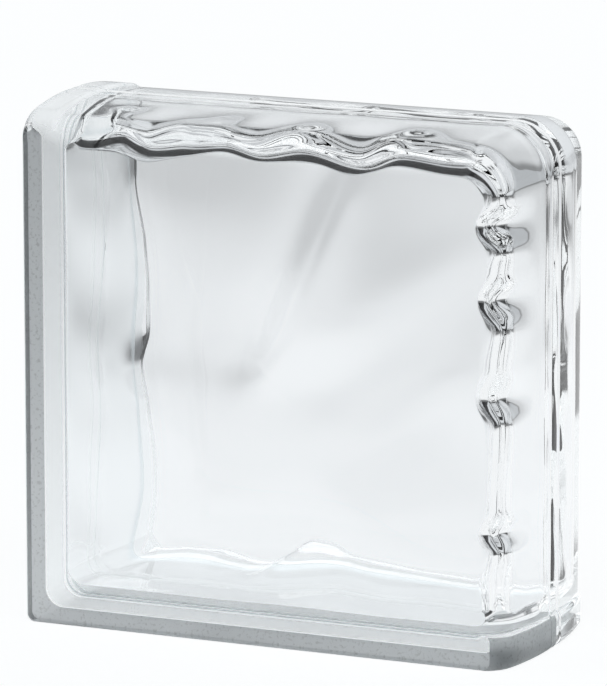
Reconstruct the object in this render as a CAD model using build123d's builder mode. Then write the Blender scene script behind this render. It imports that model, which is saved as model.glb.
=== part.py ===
from build123d import *
import os
from math import cos, pi, radians, sin, tan

# Hollow glass block with two finished sides, in millimetres.
# X runs across the face to the finished right side, Y from the front face
# to the back face, Z up to the finished top. Z = 0 is the bottom lip.
# Two pressed half shells are fused in the seam plane Y = 0.

# Overall size, over the mortar lips
block_width = 190.0
block_height = 190.0
block_depth = 80.0

# Mortar lips and channel, on the left side and the bottom
lip_depth = 8.5
lip_edge_radius = 1.5
lip_corner_radius = 3.0
channel_depth = 5.2
shoulder_run = 1.8
channel_corner_radius = 7.0
channel_end_wall = 12.0

# Finished top and right sides, stepped in behind a collar at each end
finished_step = 1.2
finished_crown = 5.0
finished_edge_radius = 11.0
finished_corner_radius = 17.0
top_left_radius = 3.0
collar_length = 12.0

# Seam bead left by the fusing, between two grooves
bead_half_width = 3.6
groove_radius = 0.9

# Cavity of one half, measured at its mouth in the seam plane
mortar_side_wall = 12.3
finished_side_wall = 8.0
mortar_cavity_radius = 8.5
finished_cavity_radius = 14.0
mortar_draft = 4.0
finished_draft = 9.0

# Radius where the cavity's walls turn into its floor
front_mortar_floor_radius = 2.0
back_mortar_floor_radius = 5.5
finished_floor_radius = 8.0

# Face plate and the soft waves pressed into its inner side
face_plate = 8.5
wave_height = 1.7
wave_clearance = 0.5
wave_length = 86.0
wave_grid_step = 16.0
front_wave_turn = 38.0
back_wave_turn = -52.0
front_wave_shift = 0.4
back_wave_shift = 2.1

half_depth = block_depth / 2
cavity_depth = half_depth - face_plate + wave_height + wave_clearance
left_x = -block_width / 2
right_x = block_width / 2
overcut = 3.0


def finished_side_waste(setback, plane):
    """Section outside a finished side; local X points outward, local Y to the face."""
    deep = -setback - finished_crown - finished_edge_radius - overcut
    with BuildSketch(Plane.XY) as glass:
        with BuildLine():
            bead = Line((-setback, -2 * overcut), (-setback, bead_half_width - groove_radius))
            groove_floor = (-setback - groove_radius, bead_half_width)
            groove_end = (-setback, bead_half_width + groove_radius)
            groove = ThreePointArc(bead @ 1, groove_floor, groove_end)
            crown = TangentArc(groove @ 1, (-setback - finished_crown, half_depth), tangent=(0, 1))
            Polyline(crown @ 1, (2 * deep, half_depth), (2 * deep, -2 * overcut), bead @ 0)
        make_face()
        face_corner = glass.vertices().group_by(Axis.Y)[-1].sort_by(Axis.X)[-1]
        fillet(face_corner, radius=finished_edge_radius)
    with BuildSketch(plane) as outside:
        with BuildLine():
            Polyline(
                (deep, -overcut),
                (overcut, -overcut),
                (overcut, half_depth + overcut),
                (deep, half_depth + overcut),
                close=True,
            )
        make_face()
        add(glass.sketch_local, mode=Mode.SUBTRACT)
    return outside.sketch


def wave(x, z, turn, shift):
    """Height of the pressed waves at one place of a face, within wave_height."""
    along = (x * cos(radians(turn)) + z * sin(radians(turn))) * 2 * pi / wave_length
    across = (z * cos(radians(turn)) - x * sin(radians(turn))) * 2 * pi / wave_length
    broad = 0.8 * sin(along + shift) * cos(0.6 * across - shift)
    fine = 0.2 * sin(1.3 * along - 0.7 * across + 2 * shift)
    return wave_height * (broad + fine)


# Outer form of one half, pressed from the front
with BuildPart() as half_form:
    with BuildSketch(Plane.XZ):
        with Locations((0, block_height / 2)):
            Rectangle(block_width, block_height)
    extrude(amount=half_depth)
    corner_radius = finished_corner_radius + finished_step
    lower, upper = half_form.edges().filter_by(Axis.Y).group_by(Axis.Z)
    fillet(lower, radius=lip_corner_radius)
    fillet(upper.sort_by(Axis.X)[0], radius=top_left_radius)
    fillet(upper.sort_by(Axis.X)[-1], radius=corner_radius)
    fillet(half_form.faces().sort_by(Axis.Y)[0].edges(), radius=lip_edge_radius)

    # Crowned profile along the top and right, first over the collars
    with BuildLine() as rounded_sides:
        FilletPolyline(
            (left_x - overcut, 0, block_height),
            (right_x, 0, block_height),
            (right_x, 0, -overcut),
            radius=corner_radius,
        )
    start = Plane(rounded_sides.line @ 0, x_dir=(0, 0, 1), z_dir=(1, 0, 0))
    sweep(finished_side_waste(0, start), path=rounded_sides.wire(), mode=Mode.SUBTRACT)

    # Then the finished stretch between the collars, stepped in
    with BuildLine() as finished_sides:
        FilletPolyline(
            (left_x + collar_length, 0, block_height),
            (right_x, 0, block_height),
            (right_x, 0, collar_length),
            radius=corner_radius,
        )
    start = Plane(finished_sides.line @ 0, x_dir=(0, 0, 1), z_dir=(1, 0, 0))
    sweep(finished_side_waste(finished_step, start), path=finished_sides.wire(), mode=Mode.SUBTRACT)

    # Mortar channel along the bottom and up the left side
    with BuildLine() as channel_line:
        FilletPolyline(
            (right_x - channel_end_wall, 0, channel_depth),
            (left_x + channel_depth, 0, channel_depth),
            (left_x + channel_depth, 0, block_height - channel_end_wall),
            radius=channel_corner_radius,
        )
    start = Plane(channel_line.line @ 0, x_dir=(0, 0, -1), z_dir=(-1, 0, 0))
    shoulder = half_depth - lip_depth
    reach = 2 * channel_depth + channel_corner_radius
    with BuildSketch(start) as channel:
        with BuildLine():
            bead = Line((0, -overcut), (0, bead_half_width - groove_radius))
            groove_floor = (-groove_radius, bead_half_width)
            groove = ThreePointArc(bead @ 1, groove_floor, (0, bead_half_width + groove_radius))
            floor = Line(groove @ 1, (0, shoulder - shoulder_run))
            Polyline(
                floor @ 1,
                (channel_depth, shoulder),
                (reach, shoulder),
                (reach, -overcut),
                bead @ 0,
            )
        make_face()
    sweep(channel.sketch, path=channel_line.wire(), mode=Mode.SUBTRACT)


def cavity_outline(depth):
    """Outline of the cavity at one depth from the seam, narrowed by the drafts."""
    mortar_lean = depth * tan(radians(mortar_draft))
    finished_lean = depth * tan(radians(finished_draft))
    low_x = left_x + mortar_side_wall + mortar_lean
    low_z = mortar_side_wall + mortar_lean
    high_x = right_x - finished_step - finished_side_wall - finished_lean
    high_z = block_height - finished_step - finished_side_wall - finished_lean
    mortar_corner = mortar_cavity_radius - mortar_lean
    finished_corner = finished_cavity_radius - finished_lean
    with BuildSketch(Plane.XZ.offset(depth)) as outline:
        with BuildLine():
            FilletPolyline(
                (low_x, low_z),
                (high_x, low_z),
                (high_x, high_z),
                (low_x, high_z),
                radius=(mortar_corner, mortar_corner, finished_corner, mortar_corner),
                close=True,
            )
        make_face()
    return outline.sketch


def floor_corner_waste(wall, draft, radius, plane):
    """Section where a cavity wall rounds into its floor; axes as for the finished sides."""
    corner_x = -wall - cavity_depth * tan(radians(draft))
    run = radius / tan(radians(45 + draft / 2))
    on_floor = (corner_x - run, cavity_depth)
    on_wall = (corner_x + run * sin(radians(draft)), cavity_depth - run * cos(radians(draft)))
    with BuildSketch(plane) as waste:
        with BuildLine():
            TangentArc(on_floor, on_wall, tangent=(1, 0))
            Polyline(
                on_wall,
                (overcut, on_wall[1]),
                (overcut, cavity_depth + overcut),
                (on_floor[0], cavity_depth + overcut),
                on_floor,
            )
        make_face()
    return waste.sketch


def cavity_core(turn, shift, mortar_floor_radius):
    """The hollow of one half; its waves are cut last and break into the corner radius."""
    finished_wall = finished_step + finished_side_wall
    with BuildPart() as core:
        loft([cavity_outline(0), cavity_outline(cavity_depth)], ruled=True)
        with BuildLine() as finished_sides:
            FilletPolyline(
                (left_x, 0, block_height),
                (right_x, 0, block_height),
                (right_x, 0, 0),
                radius=finished_cavity_radius + finished_wall,
            )
        start = Plane(finished_sides.line @ 0, x_dir=(0, 0, 1), z_dir=(1, 0, 0))
        waste = floor_corner_waste(finished_wall, finished_draft, finished_floor_radius, start)
        sweep(waste, path=finished_sides.wire(), mode=Mode.SUBTRACT)
        with BuildLine() as mortar_sides:
            FilletPolyline(
                (right_x, 0, 0),
                (left_x, 0, 0),
                (left_x, 0, block_height),
                radius=mortar_cavity_radius + mortar_side_wall,
            )
        start = Plane(mortar_sides.line @ 0, x_dir=(0, 0, -1), z_dir=(-1, 0, 0))
        waste = floor_corner_waste(mortar_side_wall, mortar_draft, mortar_floor_radius, start)
        sweep(waste, path=mortar_sides.wire(), mode=Mode.SUBTRACT)
        steps_x = round(block_width / wave_grid_step)
        steps_z = round(block_height / wave_grid_step)
        rows = []
        for i in range(steps_x + 1):
            x = left_x + block_width * i / steps_x
            heights = [block_height * k / steps_z for k in range(steps_z + 1)]
            rows.append([Vector(x, wave(x, z, turn, shift) - half_depth + face_plate, z) for z in heights])
        waves = Face.make_surface_from_array_of_points(rows)
        extrude(waves, amount=face_plate, dir=(0, -1, 0), mode=Mode.SUBTRACT)
    return core.part


with BuildPart() as front_half:
    add(half_form.part)
    add(cavity_core(front_wave_turn, front_wave_shift, front_mortar_floor_radius), mode=Mode.SUBTRACT)

with BuildPart() as back_half:
    add(half_form.part)
    add(cavity_core(back_wave_turn, back_wave_shift, back_mortar_floor_radius), mode=Mode.SUBTRACT)
    mirror(about=Plane.XZ, mode=Mode.REPLACE)

front_half.part.label = "front_half"
back_half.part.label = "back_half"

os.makedirs("parts", exist_ok=True)
export_step(front_half.part, "parts/front_half.step")
export_step(back_half.part, "parts/back_half.step")
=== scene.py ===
from math import cos, pi, radians, sin, sqrt, tan

import bpy
import numpy as np
from mathutils import Matrix, Vector


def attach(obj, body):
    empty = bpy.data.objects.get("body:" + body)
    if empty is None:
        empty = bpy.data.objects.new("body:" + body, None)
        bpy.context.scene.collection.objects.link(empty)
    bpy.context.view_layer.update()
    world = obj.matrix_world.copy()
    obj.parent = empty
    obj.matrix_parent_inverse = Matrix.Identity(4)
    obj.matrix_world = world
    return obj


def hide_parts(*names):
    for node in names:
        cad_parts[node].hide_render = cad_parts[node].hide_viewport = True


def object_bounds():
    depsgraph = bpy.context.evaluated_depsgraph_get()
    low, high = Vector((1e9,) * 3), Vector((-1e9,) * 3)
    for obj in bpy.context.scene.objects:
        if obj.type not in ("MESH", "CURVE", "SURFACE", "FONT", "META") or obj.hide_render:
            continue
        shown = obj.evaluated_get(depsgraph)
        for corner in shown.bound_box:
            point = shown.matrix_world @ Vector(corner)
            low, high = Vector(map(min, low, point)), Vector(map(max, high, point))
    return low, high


# Hollow glass block with two finished sides, fused from two pressed halves.
# Lengths in this script are millimetres; they turn to metres where a mesh,
# lamp or camera is made.

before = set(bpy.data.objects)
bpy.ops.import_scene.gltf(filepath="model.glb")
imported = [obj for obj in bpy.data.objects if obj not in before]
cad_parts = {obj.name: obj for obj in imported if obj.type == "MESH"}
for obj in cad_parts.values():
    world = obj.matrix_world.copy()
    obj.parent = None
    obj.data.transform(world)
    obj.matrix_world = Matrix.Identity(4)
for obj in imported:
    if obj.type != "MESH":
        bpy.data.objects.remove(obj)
cad_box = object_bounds()
metre = 0.001

# Sizes shared with the solids
left_x, right_x = (1000 * corner.x for corner in cad_box)
block_height = 1000 * cad_box[1].z
half_depth = 1000 * cad_box[1].y
lip_depth = 8.5
lip_edge_radius = 1.5
lip_corner_radius = 3.0
channel_depth = 5.2
shoulder_run = 1.8
channel_corner_radius = 7.0
channel_end_wall = 12.0
finished_step = 1.2
finished_crown = 5.0
finished_edge_radius = 11.0
finished_corner_radius = 17.0
collar_length = 12.0
bead_half_width = 3.6
groove_radius = 0.9
mortar_side_wall = 12.3
finished_side_wall = 8.0
mortar_cavity_radius = 8.5
finished_cavity_radius = 14.0
mortar_draft = 4.0
finished_draft = 9.0
front_mortar_floor_radius = 2.0
back_mortar_floor_radius = 5.5
finished_floor_radius = 8.0
face_plate = 8.5
wave_height = 1.7
wave_clearance = 0.5
wave_length = 86.0
front_wave_turn, front_wave_shift = 38.0, 0.4
back_wave_turn, back_wave_shift = -52.0, 2.1

# Folds of the pressed faces: x and z of its start, x and z of its end, its width and its rise
front_folds = [
    (-6, 104, 22, 166, 6.0, 0.9),
    (20, 104, 75, 137, 9.0, -0.8),
]
back_folds = [
    (-27, 92, 2, 150, 6.0, 0.8),
    (24, 74, 38, 88, 8.0, 0.9),
    (-74, 84, -50, 86, 10.0, 0.6),
]

# Where the foot of a cavity wall wanders: places along its side, each with how far inward
bottom_side, right_side, top_side, left_side = range(4)
front_wander = {
    top_side: [
        (-74, 0), (-60, -1.2), (-48, 1.0), (-34, 0.2), (-20, -0.4),
        (-6, 1.0), (10, -0.4), (32, 1.8), (48, -0.8), (66, 0),
    ],
    right_side: [
        (30, 0), (40, -0.6), (48, 1.5), (55, 0), (86, -0.6), (96, 1.8), (106, 0),
        (120, -0.8), (131, 2.6), (140, 0), (148, -0.8), (157, 2.8), (165, 0),
    ],
}
back_wander = {
    left_side: [
        (20, 0), (52, 0.6), (68, 0), (85, -1.8), (98, 2.4),
        (109, 1.2), (125, 0), (150, -2.2), (168, 0),
    ],
    bottom_side: [
        (-75, 0), (-57, 1.4), (-43, 1.8), (-26, -2.2), (-16, 5.4),
        (-9, 5.0), (2, 2.0), (21, 2.4), (40, 1.4), (62, 0),
    ],
}

# Softness that the solids leave out
ledge_run = 1.6
bead_rounding = 0.35
shoulder_softness = 0.5
crease_softness = 0.22
ripple_height = 0.8
ripple_fade = 10.0
wander_from = 0.3
seam_ridge_height = 0.8
seam_ridge_width = 2.2
least_finished_corner = 2.0
least_cavity_corner = 0.6

# Where the mortar coating starts below the face, and how high the darker pitted coat, painted shade, climbs
# the left lip
coating_from = 0.8
coating_top = 168.0

# How finely the skins are divided
side_steps = 72
corner_steps = 20
floor_rings = 26
face_cap_share = 0.985
ledge_crowding, ledge_crowd_width = 14, 0.018
crease_halvings = 30
crease_reach = 0.3
floor_edge_gap = 0.9
floor_centre_share = 0.015
lip_rings = [6.6, 7.2, 7.7, 8.1, 8.3, 8.5, 8.7, 9.0, 9.4, 9.8, 10.1, 10.3, 10.5, 10.8, 11.3, 12.0]
bead_shares = [0.62, 0.45, 0.25, 0]
crease_offsets = [0.5, 0.3, 0.18, 0.08, 0.0, -0.08, -0.18, -0.3]
fillet_shares = [0.8, 0.62, 0.46, 0.32, 0.2, 0.11, 0.04, 0.0]
wall_shares = list(np.linspace(0.95, 0.12, 16)) + [0.09, 0.065, 0.045, 0.03, 0.015, 0.0]


def smooth(low, high, value):
    """0 below low, 1 above high, eased in between."""
    t = np.clip((value - low) / (high - low), 0, 1)
    return t * t * (3 - 2 * t)


def soft_min(a, b, softness):
    """The lower of two heights, rounded where they cross."""
    t = np.clip(0.5 + 0.5 * (b - a) / softness, 0, 1)
    return b + (a - b) * t - softness * t * (1 - t)


def wave(x, z, turn, shift):
    """Height of the pressed waves at one place of a face, within wave_height."""
    along = (x * cos(radians(turn)) + z * sin(radians(turn))) * 2 * pi / wave_length
    across = (z * cos(radians(turn)) - x * sin(radians(turn))) * 2 * pi / wave_length
    broad = 0.8 * np.sin(along + shift) * np.cos(0.6 * across - shift)
    fine = 0.2 * np.sin(1.3 * along - 0.7 * across + 2 * shift)
    return wave_height * (broad + fine)


def folds(x, z, folded):
    """Height of the narrow folds that cross the waves, each fading out past its ends."""
    height = np.zeros_like(x)
    for start_x, start_z, end_x, end_z, width, rise in folded:
        length = sqrt((end_x - start_x)**2 + (end_z - start_z)**2)
        way_x, way_z = (end_x - start_x) / length, (end_z - start_z) / length
        along = (x - start_x) * way_x + (z - start_z) * way_z
        across = ((z - start_z) * way_x - (x - start_x) * way_z) / width
        past_end = np.maximum(np.abs(along - length / 2) - length / 2, 0) / (2 * width)
        height += rise * across * np.exp(0.5 - across**2 / 2 - past_end**2)
    return height


def groove(depth):
    """How far the two grooves beside the seam's bead cut in at one depth below the face."""
    from_seam = half_depth - depth
    reach = min(abs(from_seam - bead_half_width), groove_radius)
    bead_fall = bead_rounding * min(from_seam / bead_half_width, 1)**2 if from_seam < bead_half_width else 0
    return max(sqrt(groove_radius**2 - reach**2), bead_fall)


def lip_inset(depth):
    """Rounding of the lip's edge at the face."""
    reach = np.clip(lip_edge_radius - depth, 0, lip_edge_radius)
    return lip_edge_radius - sqrt(lip_edge_radius**2 - reach**2)


def finished_inset(depth):
    """How far the crown of a finished side has fallen at one depth below the face."""
    span = half_depth - bead_half_width - groove_radius
    crown_radius = (span**2 + finished_crown**2) / (2 * finished_crown)
    height = np.clip(span - depth, 0, span)
    centre_height = span - finished_edge_radius
    centre_in = crown_radius - sqrt((crown_radius - finished_edge_radius)**2 - centre_height**2)
    tangent_height = centre_height * crown_radius / (crown_radius - finished_edge_radius)
    if height <= tangent_height:
        return crown_radius - sqrt(crown_radius**2 - height**2)
    return centre_in - sqrt(max(finished_edge_radius**2 - (height - centre_height)**2, 0))


def channel_inset(depth):
    """Fall of the shoulder from the lip into the mortar channel."""
    rise = (depth - lip_depth) * channel_depth / shoulder_run
    floor = soft_min(rise, channel_depth, shoulder_softness * 2)
    return float(-soft_min(-floor, 0.0, shoulder_softness))


def spread(dense_at):
    """Steps from 0 to 1 along a side, closer together near the places named."""
    t = np.linspace(0, 1, 2001)
    weight = 1 + sum(ledge_crowding * np.exp(-((t - place) / ledge_crowd_width)**2) for place in dense_at)
    total = np.cumsum(weight)
    total = (total - total[0]) / (total[-1] - total[0])
    return np.interp(np.linspace(0, 1, side_steps + 1), total, t)


ledge_share = channel_end_wall / (right_x - left_x)
far_ledge = spread([1 - ledge_share])
near_ledge = spread([ledge_share])


def corner(centre_x, centre_z, radius, start):
    """The inner points of a corner arc, a quarter turn from its start angle."""
    turn = radians(start) + np.linspace(0, pi / 2, corner_steps + 1)[1:-1]
    return np.stack([centre_x + radius * np.cos(turn), centre_z + radius * np.sin(turn)], 1)


def side_points(low, high, shares, level, upright):
    """Points along one straight side, at a level that may change on the way."""
    way = low + (high - low) * shares
    across = level(way)
    return np.stack([across, way] if upright else [way, across], 1)


def outer_ring(depth):
    """The block's outline at one depth below a face, counter-clockwise from the bottom left."""
    cut = groove(depth)
    lip = lip_inset(depth) + cut
    fall = finished_inset(depth) + cut
    channel = channel_inset(depth)
    share = channel / channel_depth
    corner_low = lip_corner_radius + (channel_corner_radius - lip_corner_radius) * share
    corner_high = max(finished_corner_radius - fall, least_finished_corner)
    end_x = right_x - channel_end_wall
    end_z = block_height - channel_end_wall

    def bottom(x):
        return lip + channel * (1 - smooth(end_x - ledge_run, end_x + ledge_run, x))

    def right(z):
        step = smooth(collar_length - ledge_run, collar_length + ledge_run, z)
        return right_x - fall - finished_step * step

    def top(x):
        start = left_x + collar_length
        step = smooth(start - ledge_run, start + ledge_run, x)
        return block_height - fall - finished_step * step

    def left(z):
        return left_x + lip + channel * (1 - smooth(end_z - ledge_run, end_z + ledge_run, z))

    low_left = left_x + lip + channel + corner_low
    low_foot = lip + channel + corner_low
    collar_x = right_x - fall
    collar_z = block_height - fall
    inner_x = right_x - finished_step - fall - corner_high
    inner_z = block_height - finished_step - fall - corner_high
    end = lip_corner_radius
    return np.concatenate([
        side_points(low_left, collar_x - end, far_ledge, bottom, False),
        corner(collar_x - end, lip + end, end, -90),
        side_points(lip + end, inner_z, near_ledge, right, True),
        corner(inner_x, inner_z, corner_high, 0),
        side_points(inner_x, left_x + lip + end, 1 - near_ledge[::-1], top, False),
        corner(left_x + lip + end, collar_z - end, end, 90),
        side_points(collar_z - end, low_foot, 1 - far_ledge[::-1], left, True),
        corner(low_left, low_foot, corner_low, 180),
    ])


def outer_depths():
    """Depths below the face at which the outer skin has a ring."""
    rounding = [finished_edge_radius * (1 - cos(radians(a))) for a in range(0, 76, 5)]
    groove_start = half_depth - bead_half_width - groove_radius
    wall = list(np.arange(14, groove_start - 1, 2.5)) + [groove_start - 0.4]
    seam = [half_depth - bead_half_width - groove_radius * cos(radians(a)) for a in range(0, 181, 15)]
    bead = [half_depth - bead_half_width * share for share in bead_shares]
    return sorted(set(rounding + lip_rings + wall + seam + bead))


def cavity_stations():
    """Each point's side, whether it is on the corner after it, and its share or turn."""
    even = np.linspace(0, 1, side_steps + 1)
    turns = np.linspace(0, pi / 2, corner_steps + 1)[1:-1]
    sides, on_corner, way = [], [], []
    for side in range(4):
        sides += [side] * (len(even) + len(turns))
        on_corner += [False] * len(even) + [True] * len(turns)
        way += list(even) + list(turns)
    return np.array(sides), np.array(on_corner), np.array(way)


station_side, station_on_corner, station_way = cavity_stations()
station_turn = (station_side - 1) * pi / 2 + np.where(station_on_corner, station_way, 0)
station_normal = np.stack([np.cos(station_turn), np.sin(station_turn)], 1)
corner_radii = np.array([
    mortar_cavity_radius, finished_cavity_radius, mortar_cavity_radius, mortar_cavity_radius])


def cavity_points(drawn_in):
    """Points of the cavity's outline, each drawn in from the mouth by its own amount."""
    radii = np.maximum(corner_radii[None, :] - drawn_in[:, None], least_cavity_corner)
    low = np.stack([left_x + mortar_side_wall + drawn_in, mortar_side_wall + drawn_in], 1)
    edge = finished_step + finished_side_wall
    high = np.stack([right_x - edge - drawn_in, block_height - edge - drawn_in], 1)
    rows = np.arange(len(drawn_in))
    corners = np.stack([
        np.stack([low[:, 0], low[:, 1]], 1), np.stack([high[:, 0], low[:, 1]], 1),
        np.stack([high[:, 0], high[:, 1]], 1), np.stack([low[:, 0], high[:, 1]], 1),
    ], 1)
    inward = np.array([(1, 1), (-1, 1), (-1, -1), (1, -1)])
    along = np.array([(1, 0), (0, 1), (-1, 0), (0, -1)])[station_side]
    begin_corner = station_side
    end_corner = (station_side + 1) % 4
    begin_radius = radii[rows, (station_side + 3) % 4]
    end_radius = radii[rows, station_side]
    begin = corners[rows, begin_corner] + along * begin_radius[:, None]
    end = corners[rows, end_corner] - along * end_radius[:, None]
    straight = begin + (end - begin) * station_way[:, None]
    centre = corners[rows, end_corner] + inward[end_corner] * end_radius[:, None]
    round_way = centre + station_normal * end_radius[:, None]
    return np.where(station_on_corner[:, None], round_way, straight)


def eased(places, wander):
    """A smooth line through the places and offsets of one wander."""
    at = np.array([place for place, _ in wander])
    by = np.array([offset for _, offset in wander])
    after = np.clip(np.searchsorted(at, places), 1, len(at) - 1)
    share = smooth(0, 1, (places - at[after - 1]) / (at[after] - at[after - 1]))
    return by[after - 1] + (by[after] - by[after - 1]) * share


def foot_wander(points, wander):
    """How far each station of one half's wall foot moves inward."""
    moved = np.zeros(len(points))
    for side, places in wander.items():
        along = points[:, 1] if side in (right_side, left_side) else points[:, 0]
        here = (station_side == side) & ~station_on_corner
        moved = np.where(here, eased(along, places), moved)
    return moved


def ripple(points, from_seam, side):
    """Gentle unevenness of the cavity's walls, with the raised ridge of the fused seam."""
    x, z = points[:, 0], points[:, 1]
    y = from_seam * side
    swell = np.sin(0.085 * x + 0.08 * z + 0.05 * y) * np.cos(0.05 * x - 0.075 * z + 0.03 * y + 1.0)
    small = np.sin(0.16 * x + 0.03 * y) * np.sin(0.15 * z + 0.12 * y + 0.6)
    ridge = np.exp(-(from_seam / seam_ridge_width)**2)
    uneven = 1 + 0.4 * np.sin(0.21 * x + 1.0) * np.cos(0.17 * z)
    return ripple_height * (0.7 * swell + 0.3 * small) + seam_ridge_height * ridge * uneven


def by_side(on_mortar, on_finished):
    """A cavity size at each station: one value on the mortar sides, another on the finished ones."""
    turned = np.degrees(station_turn)
    share = smooth(-90, 0, turned) * (1 - smooth(90, 180, turned))
    return on_mortar + (on_finished - on_mortar) * share


def cavity_rows(turn, shift, folded, wander, mortar_floor_radius, side):
    """Rings of one half of the cavity, from the middle of its floor out to the seam."""
    flat_floor = half_depth - face_plate + wave_height + wave_clearance
    radius = by_side(mortar_floor_radius, finished_floor_radius)
    slope = by_side(tan(radians(mortar_draft)), tan(radians(finished_draft)))
    base = flat_floor - radius
    lean = base * slope

    def floor_depth(points):
        x, z = points[:, 0], points[:, 1]
        return half_depth - face_plate - wave(x, z, turn, shift) - folds(x, z, folded)

    def fillet_depth(inset):
        reach = np.clip(radius - inset, 0, radius)
        return base + np.sqrt(radius**2 - reach**2)

    foot = foot_wander(cavity_points(lean), wander)

    def outline(drawn_in, share=1.0):
        return cavity_points(drawn_in) - station_normal * (foot * share)[:, None]

    def ring(points, depth):
        return np.stack([points[:, 0], side * depth, points[:, 1]], 1)

    low = np.zeros(len(radius))
    high = radius.copy()
    for _ in range(crease_halvings):
        middle = (low + high) / 2
        inside = fillet_depth(middle) < floor_depth(outline(lean + middle))
        low = np.where(inside, middle, low)
        high = np.where(inside, high, middle)
    crease = (low + high) / 2

    rows = []
    edge = outline(lean + crease + floor_edge_gap)
    centre = (edge.min(0) + edge.max(0)) / 2
    for share in np.linspace(floor_centre_share, 1, floor_rings)**0.9:
        points = centre + (edge - centre) * share
        rows.append(ring(points, floor_depth(points)))
    for offset in crease_offsets:
        inset = np.maximum(crease + offset, 0.0)
        points = outline(lean + inset)
        rows.append(ring(points, soft_min(fillet_depth(inset), floor_depth(points), crease_softness)))
    for share in fillet_shares:
        inset = np.maximum(crease - crease_reach, 0) * share
        points = outline(lean + inset)
        rows.append(ring(points, np.minimum(fillet_depth(inset), floor_depth(points))))
    wall_top = np.minimum(base, floor_depth(outline(lean)))
    for share in wall_shares:
        from_seam = wall_top * share
        points = outline(from_seam * slope, float(smooth(wander_from, 1.0, share)))
        uneven = smooth(0, ripple_fade, wall_top - from_seam) * ripple(points, from_seam, side)
        rows.append(ring(points - station_normal * uneven[:, None], from_seam))
    return rows


def skin(rows, outward):
    """Vertices and faces of a closed skin of rings with a flat cap at each end."""
    count = len(rows[0])
    vertices = np.concatenate(rows)
    faces = []
    for i in range(len(rows) - 1):
        for j in range(count):
            k = (j + 1) % count
            quad = [i * count + j, (i + 1) * count + j, (i + 1) * count + k, i * count + k]
            faces.append(quad if outward else quad[::-1])
    first = list(range(count))
    last = list(range((len(rows) - 1) * count, len(rows) * count))
    faces.append(first if outward else first[::-1])
    faces.append(last[::-1] if outward else last)
    return vertices, faces


def outer_rows():
    """Rings of the whole outer skin, from the front face to the back face."""
    rings = []
    depths = outer_depths()
    for depth in depths:
        ring = outer_ring(depth)
        rings.append(np.stack([ring[:, 0], np.full(len(ring), depth - half_depth), ring[:, 1]], 1))
    centre = np.array([0, -half_depth, block_height / 2])
    cap = centre + (rings[0] - centre) * face_cap_share
    rings.insert(0, cap)
    back = [ring * np.array([1, -1, 1]) for ring in rings[-2::-1]]
    return rings + back, [depths[0]] + depths


clear, shaded_pitted, frosted = range(3)


def coats(rows, depths):
    """Which material each face of the outer skin's rings has, ring by ring.

    The lips facing the camera and the collar at the lower right are pitted, in a darker
    grey that is painted shade; the mortar channels and the lips behind are frosted,
    the same coating left light; all else is clear."""
    count = len(rows[0])
    seam = len(rows) // 2
    left_start = 3 * (side_steps + corner_steps)
    on_mortar = set(range(side_steps + corner_steps // 2)) | set(range(left_start, count))
    all_depths = depths + depths[-2::-1]
    coated = []
    for i in range(len(rows) - 1):
        depth = (all_depths[i] + all_depths[i + 1]) / 2
        in_front = i < seam
        shaded_front_lip = depth < lip_depth + shoulder_run and in_front
        # Only the front lips take the darker pitted coat, as painted shade; the lips behind stay light.
        coat = clear if depth < coating_from else shaded_pitted if shaded_front_lip else frosted
        for j in range(count):
            x, _, z = rows[seam][j]
            below_top = rows[1][j][2] < coating_top
            if x > right_x - channel_end_wall and z < collar_length:
                coated.append(shaded_pitted if depth > coating_from and in_front else clear)
            elif j in on_mortar and (coat == frosted or below_top):
                coated.append(coat)
            else:
                coated.append(clear)
    return coated


def build_block():
    """One closed skin of glass outside and one around the sealed air space."""
    rows, depths = outer_rows()
    outer_vertices, outer_faces = skin(rows, True)
    front = cavity_rows(
        front_wave_turn, front_wave_shift, front_folds, front_wander, front_mortar_floor_radius, -1)
    back = cavity_rows(
        back_wave_turn, back_wave_shift, back_folds, back_wander, back_mortar_floor_radius, 1)
    inner_vertices, inner_faces = skin(front + back[-2::-1], False)
    vertices = np.concatenate([outer_vertices, inner_vertices]) * metre
    inner_start = len(outer_vertices)
    faces = outer_faces + [[v + inner_start for v in face] for face in inner_faces]
    mesh = bpy.data.meshes.new("glass_block")
    mesh.from_pydata([tuple(v) for v in vertices], [], faces)
    mesh.validate()
    mesh.shade_smooth()
    coated = coats(rows, depths)
    coated += [clear] * (len(faces) - len(coated))
    mesh.polygons.foreach_set("material_index", np.array(coated, np.int32))
    block = bpy.data.objects.new("glass_block", mesh)
    bpy.context.scene.collection.objects.link(block)
    return block


glass_ior = 1.52


def material(name):
    """A new node material, with its tree and its surface shader."""
    made = bpy.data.materials.new(name)
    made.use_nodes = True
    return made, made.node_tree, made.node_tree.nodes["Principled BSDF"]


def clear_glass():
    """Fire-polished glass with a faint cool tint."""
    made, _, shader = material("polished_glass")
    shader.inputs["Base Color"].default_value = (0.976, 0.986, 0.994, 1)
    shader.inputs["Roughness"].default_value = 0.0
    shader.inputs["IOR"].default_value = glass_ior
    shader.inputs["Transmission Weight"].default_value = 1.0
    return made


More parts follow.
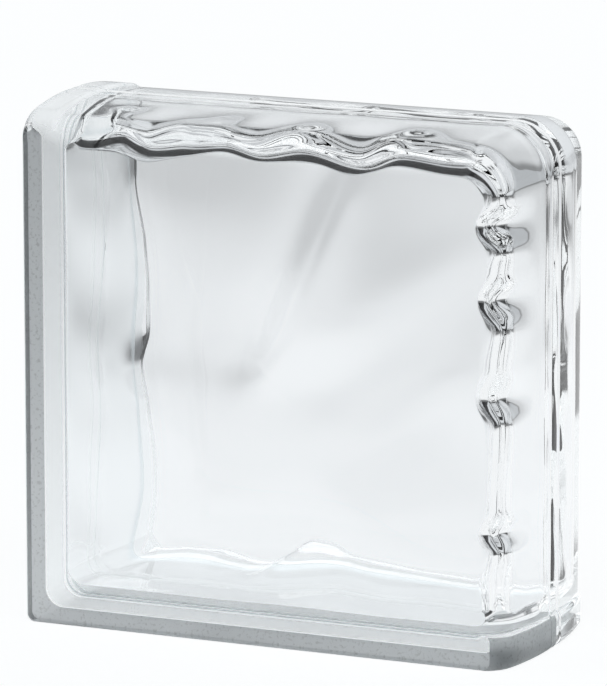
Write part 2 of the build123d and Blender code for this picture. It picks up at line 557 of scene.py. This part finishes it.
def shaded_pitted_coat():
    """The mortar lips' keyed coating: matt, with darker pits, in a grey darkened as painted shade of the
    lips facing the camera.
    """
    made, tree, shader = material("shaded_pitted_coat")
    shader.inputs["IOR"].default_value = glass_ior
    shader.inputs["Roughness"].default_value = 0.6
    shader.inputs["Transmission Weight"].default_value = 0.65
    place = tree.nodes.new("ShaderNodeTexCoord")
    noise = tree.nodes.new("ShaderNodeTexNoise")
    noise.inputs["Scale"].default_value = 900
    noise.inputs["Detail"].default_value = 3.0
    tree.links.new(place.outputs["Object"], noise.inputs["Vector"])
    # Grey of the coating, darkened as painted shade; the noise gives its darker pits.
    colour = tree.nodes.new("ShaderNodeValToRGB")
    colour.color_ramp.elements[0].position = 0.32
    colour.color_ramp.elements[0].color = (0.46, 0.49, 0.50, 1)
    colour.color_ramp.elements[1].position = 0.46
    colour.color_ramp.elements[1].color = (0.66, 0.70, 0.72, 1)
    tree.links.new(noise.outputs["Fac"], colour.inputs["Fac"])
    tree.links.new(colour.outputs["Color"], shader.inputs["Base Color"])
    return made


def frosted_coat():
    """The mortar channel's coating: smooth, light and translucent."""
    made, _, shader = material("frosted_coat")
    shader.inputs["Base Color"].default_value = (0.93, 0.96, 0.97, 1)
    shader.inputs["IOR"].default_value = 1.1
    shader.inputs["Roughness"].default_value = 0.8
    shader.inputs["Transmission Weight"].default_value = 1.0
    return made


# The studio round the block. Azimuth runs to the right of the view through the
# block, elevation up from the floor. Each zone has a half width, the softness
# of its edge, and the brightness that it pulls the wall behind it towards.
camera_azimuth, camera_elevation = 23.4, 12.0
wall_light = 0.03
wall_tint = (0.945, 0.975, 1.0, 1)
studio_zones = [
    ("backdrop", 0, 12, 16, 8, 0.62),
    ("backdrop_right", 38, 20, 18, 8, 0.80),
    ("left_softbox", -88, 40, 14, 5, 1.0),
    ("right_softbox", 122, 40, 9, 5, 1.0),
    ("back_softbox", 180, 58, 20, 6, 0.9),
]


def link_math(tree, operation, first, second):
    """A maths node; each input is a socket or a plain number."""
    node = tree.nodes.new("ShaderNodeMath")
    node.operation = operation
    for place, value in enumerate((first, second)):
        if isinstance(value, (int, float)):
            node.inputs[place].default_value = value
        else:
            tree.links.new(value, node.inputs[place])
    return node.outputs[0]


def link_mix(tree, kind, slots, factor, first, second):
    """A mixing node of one kind, whose first and second inputs lie at the given slots."""
    node = tree.nodes.new("ShaderNodeMix")
    node.data_type = kind
    tree.links.new(factor, node.inputs[0])
    for place, value in zip(slots, (first, second)):
        if isinstance(value, (float, tuple)):
            node.inputs[place].default_value = value
        else:
            tree.links.new(value, node.inputs[place])
    return node


def link_dot(tree, place, direction):
    """How far a place, or a direction, lies along a fixed direction."""
    node = tree.nodes.new("ShaderNodeVectorMath")
    node.operation = "DOT_PRODUCT"
    node.inputs[1].default_value = direction
    tree.links.new(place, node.inputs[0])
    return node


def zone_direction(azimuth, elevation):
    """Unit vector of a studio zone."""
    heading = radians(azimuth - camera_azimuth)
    flat = cos(radians(elevation))
    return Vector((sin(heading) * flat, cos(heading) * flat, sin(radians(elevation))))


def build_world():
    """Soft grey studio with lit and unlit zones, plain white where it is seen past the block."""
    world = bpy.data.worlds.new("studio")
    world.use_nodes = True
    bpy.context.scene.world = world
    tree = world.node_tree
    background = tree.nodes["Background"]
    place = tree.nodes.new("ShaderNodeTexCoord")
    light = wall_light
    for name, azimuth, elevation, width, soft, level in studio_zones:
        aim = link_dot(tree, place.outputs["Generated"], zone_direction(azimuth, elevation))
        aim.name = name
        zone = tree.nodes.new("ShaderNodeMapRange")
        zone.interpolation_type = "SMOOTHSTEP"
        zone.inputs["From Min"].default_value = cos(radians(width + soft))
        zone.inputs["From Max"].default_value = cos(radians(width))
        tree.links.new(aim.outputs["Value"], zone.inputs["Value"])
        light = link_mix(tree, "FLOAT", (2, 3), zone.outputs["Result"], light, level).outputs[0]
    in_view = tree.nodes.new("ShaderNodeLightPath").outputs["Is Camera Ray"]
    strength = link_mix(tree, "FLOAT", (2, 3), in_view, light, 1.0)
    colour = link_mix(tree, "RGBA", (6, 7), in_view, wall_tint, (1.0, 1.0, 1.0, 1))
    tree.links.new(colour.outputs[2], background.inputs["Color"])
    tree.links.new(strength.outputs[0], background.inputs["Strength"])


floor_size = 4.0
floor_glow = 0.90
floor_white = 0.035
floor_bounce = 0.25
floor_tint = (0.982, 0.994, 1.0, 1)
# How the floor's light changes for rays that come through the glass: in which
# direction, from where to where in metres, and from what share to what share
floor_falls = [
    ("away", 0.35, 1.3, 1.0, 0.72),
    ("away", -0.35, -0.1, 0.1, 1.0),
    ("away", 1.6, 3.0, 1.0, 0.4),
    ("aside", 0.45, 0.9, 1.0, 0.12),
    ("aside", -1.6, -1.1, 0.12, 1.0),
]


def build_floor():
    """A wide pale floor: white past the block, and dimmer away from it through the glass."""
    s = floor_size
    mesh = bpy.data.meshes.new("floor")
    mesh.from_pydata([(-s, -s, 0), (s, -s, 0), (s, s, 0), (-s, s, 0)], [], [(0, 1, 2, 3)])
    floor = bpy.data.objects.new("floor", mesh)
    bpy.context.scene.collection.objects.link(floor)
    made, tree, shader = material("pale_floor")
    shader.inputs["Base Color"].default_value = (floor_bounce, floor_bounce, floor_bounce, 1)
    shader.inputs["Roughness"].default_value = 0.9
    shader.inputs["Specular IOR Level"].default_value = 0.0
    path = tree.nodes.new("ShaderNodeLightPath")
    through = link_math(tree, "MAXIMUM", path.outputs["Is Glossy Ray"], path.outputs["Is Transmission Ray"])
    place = tree.nodes.new("ShaderNodeTexCoord")
    ways = {
        "away": link_dot(tree, place.outputs["Object"], zone_direction(0, 0)),
        "aside": link_dot(tree, place.outputs["Object"], zone_direction(90, 0)),
    }
    light = through
    for way, start, end, first, last in floor_falls:
        fall = tree.nodes.new("ShaderNodeMapRange")
        fall.interpolation_type = "SMOOTHSTEP"
        fall.inputs["From Min"].default_value = start
        fall.inputs["From Max"].default_value = end
        fall.inputs["To Min"].default_value = first
        fall.inputs["To Max"].default_value = last
        tree.links.new(ways[way].outputs["Value"], fall.inputs["Value"])
        light = link_math(tree, "MULTIPLY", light, fall.outputs["Result"])
    direct = link_math(tree, "MULTIPLY", path.outputs["Is Camera Ray"], 1 + floor_white)
    seen = link_math(tree, "ADD", direct, light)
    glow = tree.nodes.new("ShaderNodeEmission")
    glow.inputs["Color"].default_value = floor_tint
    tree.links.new(link_math(tree, "MULTIPLY", seen, floor_glow), glow.inputs["Strength"])
    both = tree.nodes.new("ShaderNodeAddShader")
    tree.links.new(shader.outputs[0], both.inputs[0])
    tree.links.new(glow.outputs[0], both.inputs[1])
    tree.links.new(both.outputs[0], tree.nodes["Material Output"].inputs["Surface"])
    floor.data.materials.append(made)


def build_camera():
    """Camera at the photograph's angle; the image is 607 by 686 pixels."""
    image_width, image_height = 607, 686
    focal_pixels = 6000
    pixels_per_mm = 2.79
    middle_x, middle_y = 310.9, 365.2
    azimuth, elevation = radians(camera_azimuth), radians(camera_elevation)
    back = Vector((sin(azimuth) * cos(elevation), -cos(azimuth) * cos(elevation), sin(elevation)))
    across = Vector((cos(azimuth), sin(azimuth), 0))
    upward = back.cross(across)
    data = bpy.data.cameras.new("camera")
    camera = bpy.data.objects.new("camera", data)
    bpy.context.scene.collection.objects.link(camera)
    centre = Vector((0, 0, block_height / 2))
    spot = (centre + back * (focal_pixels / pixels_per_mm)) * metre
    turn = Matrix((across, upward, back)).transposed()
    camera.matrix_world = Matrix.Translation(spot) @ turn.to_4x4()
    data.sensor_fit = "HORIZONTAL"
    data.sensor_width = 36
    data.lens = focal_pixels / image_width * data.sensor_width
    data.shift_x = (image_width / 2 - middle_x) / image_width
    data.shift_y = (middle_y - image_height / 2) / image_width
    data.clip_start = 0.05
    data.clip_end = 50
    bpy.context.scene.camera = camera


block = build_block()
block.data.materials.append(clear_glass())
block.data.materials.append(shaded_pitted_coat())
block.data.materials.append(frosted_coat())
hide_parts("front_half", "back_half")
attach(block, "root")
build_world()
build_floor()
build_camera()

scene = bpy.context.scene
scene.view_settings.view_transform = "Standard"
scene.cycles.max_bounces = 32
scene.cycles.transmission_bounces = 32
scene.cycles.glossy_bounces = 16
